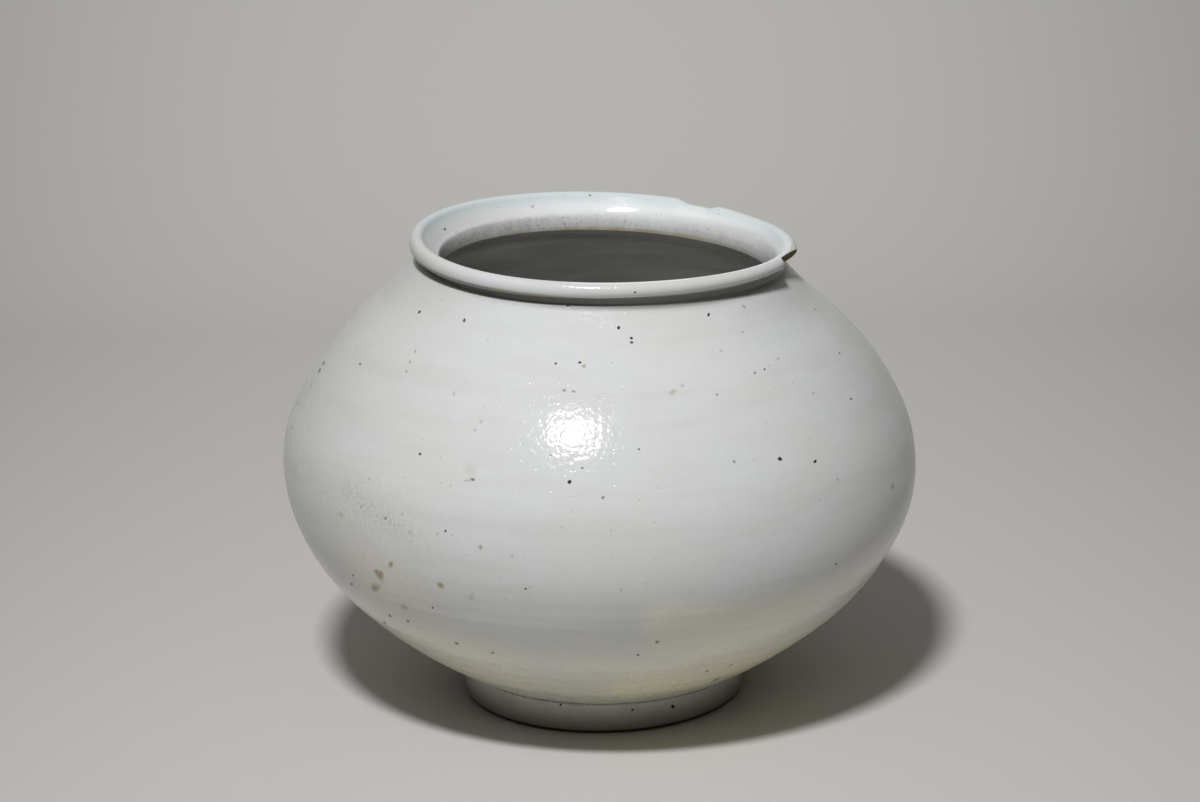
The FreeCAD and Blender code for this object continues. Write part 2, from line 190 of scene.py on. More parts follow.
def hump(x, middle, half):
    return np.exp(-((x - middle) / half) ** 2)


def wave(shares, angle):
    return shares[0] * np.cos(angle) + shares[1] * np.sin(angle)


def settled(radius, turn, rise):
    # the true round jar's points moved to where they came to lie
    side = np.cos(turn)
    shoulder = (eased(rise, *zones["shoulder"])
                * (1 - zones["shoulderFade"] * eased(rise, *zones["shoulderEnd"])))
    flank = within(-rise, *zones["flank"])
    neck = eased(rise, *zones["neck"])
    wander, phase = wear["ringWander"]
    rings = np.sin(2 * np.pi * (rise + wear["ringTilt"] * np.sin(turn)) / wear["ringPitch"]
                   + wander * np.sin(2 * turn + phase))
    outward = (wear["shoulderBulge"] * side * shoulder + wear["flankBulge"] * side * flank
               + wave(wear["oval"], 2 * turn) * neck
               + wear["neckShift"] * side * neck + wear["ringDepth"] * rings * flank)
    inward = eased(jar.rollOut - radius, 0, jar.flareWidth) * within(rise, *zones["throat"])
    outward = outward - wear["throatShift"] * (1 - side) / 2 * inward
    depth = np.interp(rise, skinLine[:, 1], skinLine[:, 0]) - radius
    thinned = eased(depth, *zones["undercutDepth"]) * within(rise, *zones["undercut"])
    flatter, half = wear["bellyFlat"]
    outward = outward + wear["undercut"] * thinned - flatter * hump(rise, 0, half)
    upward = neck * (wave(wear["waveTwice"], 2 * turn) + wave(wear["waveThrice"], 3 * turn))
    drop, middle, half = wear["dip"]
    upward = upward - drop * eased(rise, jar.foldRise, jar.crest) * hump(np.degrees(turn), middle, half)
    band = wear["bandShare"] * side * np.clip(jar.crest - rise, 0, None)
    upward = upward + band * eased(rise, jar.collarFoot, jar.rollUp - wear["bandTop"] * jar.rollRadius)
    return radius + outward * eased(radius, *zones["axis"]), turn, rise + upward


bellyMiddle = np.array([0, 0, jar.bellyHeight])
leanTurn = np.array(Matrix.Rotation(math.radians(jar.leanAngle), 3,
                                    (-sind(jar.leanHeading), cosd(jar.leanHeading), 0)))


def leaned(radius, turn, rise):
    # cylinder coordinates about the leaning axis to places over the floor
    local = np.stack([radius * np.cos(turn), radius * np.sin(turn), rise + 0 * turn], -1)
    return local @ leanTurn.T + bellyMiddle


def unleaned(points):
    x, y, rise = np.moveaxis((points - bellyMiddle) @ leanTurn, -1, 0)
    return np.hypot(x, y), np.arctan2(y, x), rise


# Damage to the lip: a chip on the right that ends in a step, and a worn, glazed notch at the back
chip = {
    "farTurn": -3.6,  # degrees round from the right, where the break starts
    "nearTurn": -22,  # where it ends in a step
    "start": -0.1,  # millimetres in, where it starts
    "depth": 4.2,  # and where it ends
    "slope": -31,  # degrees that the broken face looks up
    "stepTilt": -35,  # degrees that the step leans from square
    "reach": 24,  # no further than this from its middle
    "low": 0.8,  # and no lower than this under the collar's fold
}
notch = {"turns": (49, 54.5, 60.5, 66), "drop": 1.9}  # its floor lies between the middle turns


def unit(vector):
    return vector / np.linalg.norm(vector)


def broken(points, rise, under):
    # the break is the room between two planes: points inside it move to the nearer plane
    def onLip(turn, inset):
        return leaned(jar.rollOut + jar.rollRadius - inset, math.radians(turn), jar.rollUp)

    tip = onLip(chip["farTurn"], chip["start"])
    step = onLip(chip["nearTurn"], chip["depth"])
    along = unit(step - tip)
    outward = unit(np.cross((0, 0, 1), along))
    rising = np.cross(along, outward)
    face = outward * cosd(chip["slope"]) + rising * sind(chip["slope"])
    stepFace = -(along * cosd(chip["stepTilt"]) + outward * sind(chip["stepTilt"]))
    overFace = (points - tip) @ face + under
    overStep = (points - step) @ stepFace + under
    away = np.linalg.norm(points - (tip + step) / 2, axis=-1)
    near = (away < chip["reach"]) & (rise > jar.foldRise - chip["low"])
    inside = (overFace > 0) & (overStep > 0) & near
    toFace = overFace * (inside & (overFace <= overStep))
    toStep = overStep * (inside & (overFace > overStep))
    return points - toFace[..., None] * face - toStep[..., None] * stepFace, inside


def notched(turn, rise, under):
    # the lip's top is pressed down in the notch
    share = within(np.degrees(turn), *notch["turns"])
    high = eased(rise, jar.rollUp - jar.rollRadius, jar.crest)
    return rise - (notch["drop"] + under) * share * high


def asFired(radius, turn, rise, under=0):
    radius, turn, rise = settled(radius, turn, rise)
    rise = notched(turn, rise, under)
    return broken(leaned(radius, turn, rise), rise, under)


# Runs of the outline as (radius, rise), each from its first point up to but not with its last
def arcRun(out, up, radius, first, last, count):
    angle = np.radians(np.linspace(first, last, count, endpoint=False))
    return np.stack([out + radius * np.cos(angle), up + radius * np.sin(angle)], -1)


def straightRun(start, end, count):
    share = np.linspace(0, 1, count, endpoint=False)[:, None]
    return np.array(start) * (1 - share) + np.array(end) * share


def wallRuns(depth, detail, edge):
    # from the flank up to where the cove reaches the radius called edge
    stop = math.degrees(math.acos((jar.coveOut - edge) / (jar.coveArc + depth)))
    arcs = [
        (jar.flankOut, jar.flankUp, jar.flankArc - depth, -jar.flankAngle, -jar.keelAngle, 24),
        (jar.keelOut, 0, jar.keelArc - depth, -jar.keelAngle, 0, 18),
        (jar.crownOut, 0, jar.crownArc - depth, 0, jar.crownAngle, 18),
        (jar.shoulderOut, jar.shoulderUp, jar.shoulderArc - depth, jar.crownAngle, jar.coveAngle, 30),
        (jar.coveOut, jar.coveUp, -(jar.coveArc + depth), jar.coveAngle, stop, 16),
    ]
    return [arcRun(*arc[:5], max(3, int(arc[5] * detail))) for arc in arcs]


def lipRuns(depth, detail):
    # the collar's outside and the lip's round section
    side = jar.collarRadius - depth
    foot = onCove(depth, side)
    reach = jar.rollRadius - depth
    top = jar.rollUp - math.sqrt(reach ** 2 - (side - jar.rollOut) ** 2)
    start = math.degrees(math.atan2(top - jar.rollUp, side - jar.rollOut))
    return [straightRun((side, foot), (side, top), max(2, int(7 * detail))),
            arcRun(jar.rollOut, jar.rollUp, reach, start, jar.flareAngle, int(30 * detail))]


def flareRun(depth, count):
    # from the lip's top down to the throat
    return arcRun(jar.flareOut, jar.throatRise, jar.flareArc - depth, jar.flareAngle, 180, count)


columns = {
    "count": 460, "steps": 20001,
    "extra": 2.4,  # this much closer at the chip
    "notchShare": 0.4,  # and this share of it closer at the notch
    "chipHalf": 9, "notchHalf": 11,  # degrees
}


def columnTurns():
    # columns round the jar, closer where the lip is broken
    fine = np.linspace(0, 2 * np.pi, columns["steps"])
    degrees = np.degrees(fine)
    chipMiddle = (chip["farTurn"] + chip["nearTurn"]) / 2
    notchMiddle = (notch["turns"][0] + notch["turns"][-1]) / 2
    atChip = np.exp(-((degrees - 360 - chipMiddle) / columns["chipHalf"]) ** 4)
    atNotch = np.exp(-((degrees - notchMiddle) / columns["notchHalf"]) ** 4)
    density = 1 + columns["extra"] * atChip + columns["notchShare"] * columns["extra"] * atNotch
    total = np.concatenate([[0], np.cumsum((density[1:] + density[:-1]) / 2)])
    return np.interp(np.arange(columns["count"]) * total[-1] / columns["count"], total, fine)


turns = columnTurns()
skinLine = np.concatenate(wallRuns(0, 1, jar.collarRadius))


def spun(run, under=0):
    # a run of the outline carried round the jar
    return asFired(run[:, :1] + 0 * turns, turns + 0 * run[:, :1], run[:, 1:] + 0 * turns, under)


sharpFrom = math.radians(35)  # corners sharper than this stay sharp
closeBy = 1e-7  # metres, points closer than this become one


def merge(mesh, distance):
    work = bmesh.new()
    work.from_mesh(mesh)
    bmesh.ops.remove_doubles(work, verts=work.verts, dist=distance)
    work.to_mesh(mesh)
    work.free()


def writeValues(mesh, values):
    # numbers that the finishes read, one for each point
    for key, value in values.items():
        attribute = mesh.attributes.new(key, "FLOAT", "POINT")
        attribute.data.foreach_set("value", value.astype(np.float32).ravel())


def skinPiece(name, rows, values, closed):
    # rows of points round the jar, joined by quads: closed joins the last row to the first, and
    # otherwise each end row lies on the axis and becomes one point
    high, count = rows.shape[:2]
    index = np.arange(high * count).reshape(high, count)
    lower, upper = (index, np.roll(index, -1, axis=0)) if closed else (index[:-1], index[1:])
    quads = np.stack([lower, np.roll(lower, -1, axis=1), np.roll(upper, -1, axis=1), upper], -1)
    quads = quads.reshape(-1, 4)
    points = rows.reshape(-1, 3)
    a, b, c, d = (points[quads[:, k]] for k in range(4))
    volume = np.einsum("ij,ij->", a, np.cross(b, c) + np.cross(c, d))
    left = np.tile(np.arange(count) / count, len(lower))
    low = np.repeat(np.arange(len(lower)) / len(lower), count)
    right, top = left + 1 / count, low + 1 / len(lower)
    corners = ((left, low), (right, low), (right, top), (left, top))
    uv = np.stack([np.stack(pair, -1) for pair in corners], 1)
    if volume < 0:
        quads, uv = quads[:, ::-1], uv[:, ::-1]
    mesh = bpy.data.meshes.new(name)
    mesh.from_pydata((points * mm).tolist(), [], quads.tolist())
    layer = mesh.uv_layers.new(name="OFBake")
    layer.data.foreach_set("uv", uv.astype(np.float32).ravel())
    writeValues(mesh, values)
    if not closed:
        merge(mesh, closeBy)
    mesh.shade_smooth()
    mesh.set_sharp_from_angle(angle=sharpFrom)
    return shownAs(name, mesh)


# Outer coat: from the foot's bare band up its wall, under the base, over the body and the lip
def footWall(rise):
    return jar.footRadius + jar.footFlare * rise / jar.footHeight


underBase = {"past": 4, "to": 76, "steps": 600, "sunk": 0.35}  # degrees, and millimetres inside the foot
baseAngles = np.linspace(jar.flankAngle + underBase["past"], underBase["to"], underBase["steps"])
underside, _ = spun(arcRun(jar.baseOut, jar.baseUp, jar.baseArc, -baseAngles[0], -baseAngles[-1],
                           underBase["steps"]))
clear = np.hypot(underside[..., 0], underside[..., 1]) - footWall(underside[..., 2])
meeting = np.argmax(clear < -underBase["sunk"], axis=0)
joint = underside[meeting, np.arange(len(turns))]
jointTurn = np.arctan2(joint[:, 1], joint[:, 0])


def baseRows(depth, count, under=0):
    share = np.linspace(0, 1, count, endpoint=False)[:, None]
    angle = -np.radians(baseAngles[meeting] * (1 - share) + jar.flankAngle * share)
    radius = jar.baseOut + (jar.baseArc - depth) * np.cos(angle)
    rise = jar.baseUp + (jar.baseArc - depth) * np.sin(angle)
    return asFired(radius, turns + 0 * radius, rise, under)


def footRows(shares, inset):
    # rows up the foot's wall, from the bare band to the joint under the base
    rows = []
    for share, sink in shares:
        rise = jar.bareBand + (joint[:, 2] - jar.bareBand) * share
        radius = footWall(rise) - inset - sink
        rows.append(np.stack([radius * np.cos(jointTurn), radius * np.sin(jointTurn), rise], -1))
    return np.array(rows)


# each row's share of the way up, and how far in it is sunk
footShares = [(0, 0.15), (0.03, 0), (0.18, 0.03), (0.33, 0), (0.48, 0.04), (0.63, 0), (0.78, 0.02),
              (0.88, 0), (0.94, 0.1), (0.975, 0.32)]
foot = footRows(footShares, 0)
shown = [(foot, np.zeros(foot.shape[:2], bool)), baseRows(0, 26)]
shownRuns = wallRuns(0, 1, jar.collarRadius) + lipRuns(0, 1) + [flareRun(0, 12)[:1]]
shown += [spun(run) for run in shownRuns]
hidden = [footRows([(0, 0), (0.9, 0)], jar.glaze), baseRows(jar.glaze, 3, jar.glaze)[0]]
hiddenRuns = wallRuns(jar.glaze, 0.16, jar.collarRadius - jar.glaze) + lipRuns(jar.glaze, 0.3)
hidden += [spun(run, jar.glaze)[0] for run in hiddenRuns + [flareRun(jar.glaze, 12)[:1]]]
outerGrid = np.concatenate([places for places, _ in shown])
outerBreak = np.concatenate([inside for _, inside in shown])
outerRows = np.concatenate([outerGrid, np.concatenate(hidden)[::-1]])

# Inner coat: from the floor's middle up the inside to the lip's top, and back under itself
def insideRuns(depth, detail, flareDepth):
    floorRise = -jar.floorDrop - jar.inside + depth
    floorAngle = math.degrees(math.asin((jar.baseUp - floorRise) / (jar.baseArc - depth)))
    edge = jar.baseOut + (jar.baseArc - depth) * cosd(floorAngle)
    side = jar.throatRadius + flareDepth
    runs = [straightRun((0, floorRise), (edge, floorRise), max(4, int(16 * detail))),
            arcRun(jar.baseOut, jar.baseUp, jar.baseArc - depth, -floorAngle, -jar.flankAngle,
                   max(4, int(16 * detail)))]
    wall = wallRuns(depth, detail, side)
    for run in wall[1:3]:
        run[:, 0] -= np.clip(1 - (run[:, 1] / jar.ridgeHalf) ** 2, 0, None) * jar.ridgeRise
    runs += wall
    runs.append(straightRun((side, onCove(depth, side)), (side, jar.throatRise), 3))
    runs.append(flareRun(flareDepth, max(4, int(20 * detail)))[::-1])
    return runs


innerGrid = np.concatenate([spun(run)[0] for run in insideRuns(jar.inside + jar.glaze, 1, 0)])
innerBack = np.concatenate([spun(run, jar.glaze)[0] for run in insideRuns(jar.inside, 0.3, jar.glaze)])
innerRows = np.concatenate([innerGrid, innerBack[::-1]])


# Stains and marks, with painted light and shade, that follow the form, in degrees from the right and
# millimetres: grown between two values and faded between two more, or a middle and a half width
marks = {
    "deep": ((0.6, 30, 64), (0.4, 60, 84)),  # buff tint under the belly, with painted floor light: shares and depths
    "front": -52, "frontSpread": (0.1, 0.95), "frontLeast": 0.68,
    "right": (-85, -79, 5, 50), "rightDepths": (15, 27), "rightShare": 0.42,
    "rightFade": (-62, -30), "rightFadeShare": 0.6,
    "left": (-134, 10), "leftRise": (-30, 16), "leftShare": 0.22,
    "bluish": (-6.2, -0.8), "bluishBack": (-0.25, 0.35), "bluishShare": 0.85,  # from the lip's crest
    "lipShadeAndBase": (-2.6, -0.4), "lipShadeEnd": (-3.1, -2.3), "lipShadeDepth": 1.6,  # painted shade under the overhanging lip: from the collar's foot, the round
    # the foot's glaze darker over its lowest millimetres: share and height
    "baseDarkShare": 0.8, "bandTop": 3.4,
    "flareLit": (1, 7), "flareLeft": 0.35, "flareSides": (-0.9, -0.1), "flareOver": 0.5,  # painted light on the lip's inner flare, fuller on the right: from the throat
    "throatLine": (-0.5, 0.6), "throatBack": (40, 56, 118, 134), "throatWidth": 3,
    "dust": (-2, 10), "greyHeading": 155, "greySpread": (0, 0.9), "greyLeast": 0.5,
    "lipLine": (0.4, 0.6), "lipLeft": (-134, -122, -108, -100), "lipOver": 1,
    "lipRight": (-72, -64, -56, -50), "lipRightShare": 0.7,
    "worn": (-144, 20), "wornRise": (2, 24), "wornRadius": 100,
    "foot": (-0.4, 1.4),
    "smearFrom": (-141, 10.4), "smearTo": (-124, -0.5), "smearHalf": 3.6,  # turn and rise of its ends
}


def onBelly(end):
    # a place on the belly laid out flat, from its turn and rise
    return np.array([jar.bellyRadius * math.radians(end[0]), end[1]])


def marksOf(places):
    radius, turn, rise = unleaned(places)
    degrees = np.degrees(turn)
    overThroat = rise - jar.throatRise
    low = sum(share * eased(-rise, start, end) for share, start, end in marks["deep"])
    front = eased(np.cos(turn - math.radians(marks["front"])), *marks["frontSpread"])
    right = within(degrees, *marks["right"]) * eased(-rise, *marks["rightDepths"])
    right = right * (1 - marks["rightFadeShare"] * eased(degrees, *marks["rightFade"]))
    left = hump(degrees, *marks["left"]) * hump(rise, *marks["leftRise"])
    buff = np.maximum(low * (marks["frontLeast"] + (1 - marks["frontLeast"]) * front),
                      marks["rightShare"] * right + marks["leftShare"] * left)
    bluish = eased(rise - jar.crest, *marks["bluish"]) * eased(np.sin(turn), *marks["bluishBack"])
    bluish = marks["bluishShare"] * bluish
    # painted shade under the overhanging lip, and a darker band at the foot's base
    lipShadeAndBase = eased(rise - jar.collarFoot, *marks["lipShadeAndBase"]) * (radius > jar.collarRadius - marks["lipShadeDepth"])
    lipShadeAndBase = lipShadeAndBase * (1 - eased(rise - jar.rollUp, *marks["lipShadeEnd"]))
    lipShadeAndBase = lipShadeAndBase + marks["baseDarkShare"] * (1 - eased(places[..., 2], jar.bareBand, marks["bandTop"]))
    # painted light on the inner flare, fuller towards the right side
    toRight = eased(np.cos(turn), *marks["flareSides"])
    flareLit = (eased(overThroat, *marks["flareLit"]) * (radius < jar.rollOut + marks["flareOver"])
             * (marks["flareLeft"] + (1 - marks["flareLeft"]) * toRight))
    throatLine = (hump(overThroat, *marks["throatLine"]) * within(degrees, *marks["throatBack"])
                  * (radius < jar.throatRadius + marks["throatWidth"]))
    # greyer towards the throat, most on the back left, in mottled flecks
    towardGreyHeading = eased(np.cos(turn - math.radians(marks["greyHeading"])), *marks["greySpread"])
    throatGreying = ((1 - eased(overThroat, *marks["dust"])) * (radius < jar.rollOut)
             * (marks["greyLeast"] + (1 - marks["greyLeast"]) * towardGreyHeading))
    edges = within(degrees, *marks["lipLeft"]) + marks["lipRightShare"] * within(degrees, *marks["lipRight"])
    lipLine = (hump(rise - jar.rollUp + jar.rollRadius, *marks["lipLine"]) * edges
               * (radius > jar.collarRadius + marks["lipOver"]))
    worn = hump(degrees, *marks["worn"]) * hump(rise, *marks["wornRise"]) * (radius > marks["wornRadius"])
    start = onBelly(marks["smearFrom"])
    path = onBelly(marks["smearTo"]) - start
    flat = np.stack([jar.bellyRadius * turn, rise], -1) - start
    along = np.clip(flat @ path / (path @ path), 0, 1)
    aside = np.linalg.norm(flat - along[..., None] * path, axis=-1)
    smeared = hump(aside, 0, marks["smearHalf"]) * (radius > jar.collarRadius)
    onFoot = 1 - eased(places[..., 2] - jar.footHeight, *marks["foot"])
    return dict(buff=buff, bluish=bluish, ochre=throatLine + lipLine, worn=worn, lipShadeAndBase=lipShadeAndBase, flareLit=flareLit,
                onFoot=onFoot, smeared=smeared, throatGreying=throatGreying)


outerMarks = marksOf(outerRows)
outerMarks["fracture"] = np.zeros(outerRows.shape[:2])
outerMarks["fracture"][:len(outerGrid)] = outerBreak
outerGlaze = skinPiece("outerGlaze", outerRows, outerMarks, True)
innerMarks = marksOf(innerRows)
innerRise = unleaned(innerRows)[2]
# painted shade: the inside coat is drawn darker below the throat
innerMarks["inner"] = 1 - eased(innerRise, jar.throatRise - 0.6, jar.throatRise + 0.6)
innerGlaze = skinPiece("innerGlaze", innerRows, innerMarks, False)
print("coats", len(outerGlaze.data.polygons), len(innerGlaze.data.polygons), "faces")


# Clay and slip under the coats: the solids' own meshes, settled as the coats are
def settledCopy(node):
    first, last = node.split("_")
    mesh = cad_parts[node].data.copy()
    merge(mesh, 10 * closeBy)
    places = np.empty(len(mesh.vertices) * 3)
    mesh.vertices.foreach_get("co", places)
    moved, _ = asFired(*unleaned(places.reshape(-1, 3) / mm), jar.glaze)
    mesh.vertices.foreach_set("co", (moved * mm).ravel())
    mesh.update()
    mesh.shade_smooth()
    mesh.set_sharp_from_angle(angle=sharpFrom)
    mesh.materials.clear()
    return shownAs(first + last.title(), mesh)


clay = ("lower_bowl", "belly_slip", "upper_bowl", "neck_slip", "neck_collar", "lip_coil")
clayPieces = {node: settledCopy(node) for node in clay}
print("clay settled")

# Specks, burst bubbles and kiln stains, placed after the photograph: x, y and width in its pixels,
# height where they aren't round, degrees where they are turned, and strength
spots = {
    "iron": {"colour": (0.012, 0.011, 0.010), "soft": 0.66, "height": 0.05, "seen": [
        (464.3, 320.4, 3, 5, 25, 0.9), (419.4, 312, 2.6, 5, 40, 0.9), (815.6, 309.4, 3, 2.4, 0.6),
        (567.8, 306.3, 3, 0.9), (555.8, 363.5, 3, 0.9), (579.8, 362.5, 4, 3, 0.95), (618.7, 327.8, 4, 1),
        (631.4, 338.1, 4, 3, 1), (631.6, 342.5, 4, 3, 0.95), (708.6, 314.7, 2.6, 5, 10, 1),
        (764.6, 369.4, 2.6, 0.8), (717, 394.7, 2.4, 0.8), (360.1, 364.2, 2.6, 0.8),
        (323.7, 363.1, 2.4, 6, 25, 0.7), (319.5, 370.5, 2.4, 6, 25, 0.7), (420.1, 454, 3.4, 0.9),
        (582.3, 467.5, 3, 0.9), (569.5, 481.9, 5, 4.6, 1), (551, 455.3, 2.4, 0.8),
        (638.9, 449.2, 2.6, 0.8), (815.1, 461.4, 3, 5, 30, 1), (445.5, 530.9, 3, 0.9),
        (361.3, 507.3, 2.2, 0.5), (369.5, 478.7, 2.2, 0.5), (850.9, 398.9, 2.6, 0.8),
        (839.5, 353, 2.4, 0.7), (835.9, 563.8, 2.6, 0.8), (525.7, 588.8, 3, 0.8), (432.7, 607.7, 2.8, 0.8),
        (638.3, 655, 2.8, 0.8), (351.7, 584.2, 2.8, 3.4, 0.8), (353.1, 575.3, 2.6, 0.8),
        (407.9, 621, 5, 2.4, 38, 0.8), (390, 615.7, 4.6, 2.6, 38, 0.8), (384.7, 622.7, 4, 2.4, 38, 0.8),
        (456.7, 643.3, 5.4, 2.6, 30, 0.8), (463, 650, 5, 2.4, 30, 0.8), (672.7, 706.6, 4.2, 4, 1),
        (632.6, 709.8, 3, 0.9), (560.6, 704.5, 3, 0.9), (444.8, 229.2, 3.2, 2.6, 0.9),
        (589.9, 195.2, 3, 2.2, 0.8), (634.9, 292.3, 3, 2.4, 0.9), (602, 276.5, 2.6, 2, 0.5),
    ]},
    "rust": {"colour": (0.050, 0.016, 0.008), "soft": 0.6, "height": 0.05, "seen": [
        (779.9, 458.9, 5.4, 5, 1),
    ]},
    "olive": {"colour": (0.16, 0.125, 0.060), "soft": 0.35, "height": 0.03, "seen": [
        (564.2, 390.5, 5, 4, 0.7), (573.5, 391.5, 5, 4, 0.6), (754.7, 372.8, 4, 0.7), (734.1, 461.6, 4, 0.8),
        (472.7, 479.5, 6, 4.6, 0.9), (467, 480.5, 9, 2.6, -6, 0.4), (602.9, 497.5, 4.6, 0.8),
        (657.2, 642, 6, 4, -20, 0.9), (492.7, 652.8, 5, 3, 0.8), (385.5, 518.3, 4, 0.7),
        (795.5, 275.6, 12, 3.2, 37, 0.95), (706.9, 671.2, 7, 3, -20, 0.55), (730.9, 665, 9, 2.8, -25, 0.4),
        (716, 679.5, 13, 2.8, -22, 0.5),
    ]},
    "tan": {"colour": (0.36, 0.315, 0.18), "soft": 0.3, "height": 0.02, "seen": [
        (390.8, 564.3, 6.5, 9, 20, 1), (375, 588.2, 11, 10, 30, 0.9), (440.6, 585.3, 11, 7.5, 50, 1),
        (480.7, 547.3, 6, 0.85), (403.9, 606.9, 11, 6, 20, 0.6), (537.5, 225.6, 5, 3.4, 0.6),
        (529.7, 228.8, 5, 3, 0.5), (341, 514.5, 7, 6, 0.4), (471.4, 597.4, 9, 8, 0.35),
        (672.6, 392.2, 10, 7, -20, 0.55), (682.3, 385.6, 6, 5, 0.45), (410, 362, 3, 5, 20, 0.8),
        (406.4, 371.5, 3, 5, 20, 0.8), (415.2, 351.5, 3, 5, 20, 0.8), (532.3, 206.5, 6, 4, 0.6),
        (625.3, 221.3, 6, 4, 0.4), (579.2, 226.8, 6, 4, 0.4), (584, 366, 7, 5, 0.7),
        (470, 470, 22, 14, 20, 0.18),
    ]},
    "blister": {"colour": (0.35, 0.285, 0.165), "soft": 0.4, "height": 0.02, "pale": 0.6, "seen": [
        (378.8, 572.5, 18, 10, 50, 1),
    ]},
    "ash": {"colour": (0.30, 0.30, 0.28), "soft": 0.2, "height": 0.02, "seen": [
        (743.7, 306.3, 3.4, 8, -40, 0.8), (464, 238.4, 6, 3, -20, 0.5), (456, 232, 5, 3, -20, 0.45),
        (562.5, 217.8, 8, 3, -10, 0.4), (545, 219, 9, 3, -10, 0.35), (707.8, 228.8, 5, 2.6, 8, 0.5),
        (454.2, 393.6, 5, 0.5), (481, 421.6, 5, 0.5), (475, 430, 5, 0.45), (742.5, 332, 4, 0.6),
        (720.6, 350.9, 4, 0.6), (777.8, 358.5, 4, 0.6), (813.2, 392.8, 4, 0.55), (837.4, 479.4, 4.4, 0.6),
        (512.2, 555.8, 4.6, 0.5), (402.2, 514.3, 4.4, 0.5), (437.5, 533.7, 4.4, 0.5),
        (621.3, 589.8, 4.6, 0.5), (311, 385, 3, 9, 24, 0.55), (298, 403, 3, 9, 20, 0.5),
        (292, 427, 2.6, 8, 14, 0.5), (892.5, 486.3, 5, 8, 10, 0.7),
    ]},
}

# A seeded scatter where the photograph doesn't reach: sizes in millimetres, flat is height over width
unseen = {
    "seed": 5, "count": 90, "share": {"iron": 0.52, "tan": 0.22, "olive": 0.14, "ash": 0.12},
    "small": (0.9, 1.6), "large": (1.6, 4.2), "flat": (0.6, 1), "strength": (0.5, 0.95),
    "phase": 1.3,
    "clearRows": (16, 46),  # rows of the coat kept free at the foot and at the lip
}
disk = {
    "sides": 14, "rings": (0, 0.3, 0.55, 0.8, 1),
    "uneven": (0.10, 0.07), "spin": 2.3, "phase": 1.7,  # over twice and three times round
    "lift": 0.012,  # millimetres over the skin at the middle, down to none at the edge
    "farthest": 4,  # columns or rows of the skin from its middle
    "paleTo": 0.2,
}
throatRows = 24  # rows of the inner coat over the throat, which carry spots
hiddenCost = 1e6  # square pixels added where the skin faces away


def patchesOn(grid, row, column, across, up):
    # points near one grid point, on a quadratic piece of skin through its neighbours
    def at(i, j):
        return grid[row + i, (column + j) % grid.shape[1]]
    side = (at(0, 1) - at(0, -1)) / 2
    rise = (at(1, 0) - at(-1, 0)) / 2
    sideTwice = at(0, 1) + at(0, -1) - 2 * at(0, 0)
    riseTwice = at(1, 0) + at(-1, 0) - 2 * at(0, 0)
    both = (at(1, 1) - at(1, -1) - at(-1, 1) + at(-1, -1)) / 4
    a, b = across[..., None], up[..., None]
    points = at(0, 0) + a * side + b * rise + a * b * both + (a * a * sideTwice + b * b * riseTwice) / 2
    return points, unit(np.cross(side, rise)), side, rise


diskTurn = np.linspace(0, 2 * np.pi, disk["sides"], endpoint=False)
diskReach = np.array(disk["rings"])[:, None]


def diskShape(wide, tall, turn, phase):
    # an uneven oval, ring by ring from its middle: offsets to the right and down
    twice, thrice = disk["uneven"]
    uneven = 1 + twice * np.sin(2 * diskTurn + phase) + thrice * np.sin(3 * diskTurn + disk["spin"] * phase)
    x = diskReach * uneven * np.cos(diskTurn) * wide / 2
    y = diskReach * uneven * np.sin(diskTurn) * tall / 2
    return x * cosd(turn) - y * sind(turn), x * sind(turn) + y * cosd(turn)


def diskFaces(count):
    # quads between rings; the middle ring is one point, merged after
    index = np.arange(diskReach.size * diskTurn.size).reshape(diskReach.size, diskTurn.size)
    after = np.roll(index, -1, axis=1)
    one = np.stack([index[:-1], index[1:], after[1:], after[:-1]], -1).reshape(1, -1, 4)
    return (one + (np.arange(count) * index.size)[:, None, None]).reshape(-1, 4)


def seenFrom(grid, outward):
    # a grid's pixels, and whether each point faces the camera
    sideways = np.roll(grid, -1, axis=1) - np.roll(grid, 1, axis=1)
    normals = np.cross(sideways, np.gradient(grid, axis=0)) * outward
    facing = np.einsum("ijk,ijk->ij", normals, np.array(viewer["place"]) / mm - grid) > 0
    facing[:2] = facing[-2:] = False
    return pixelsOf(grid) + (facing,)


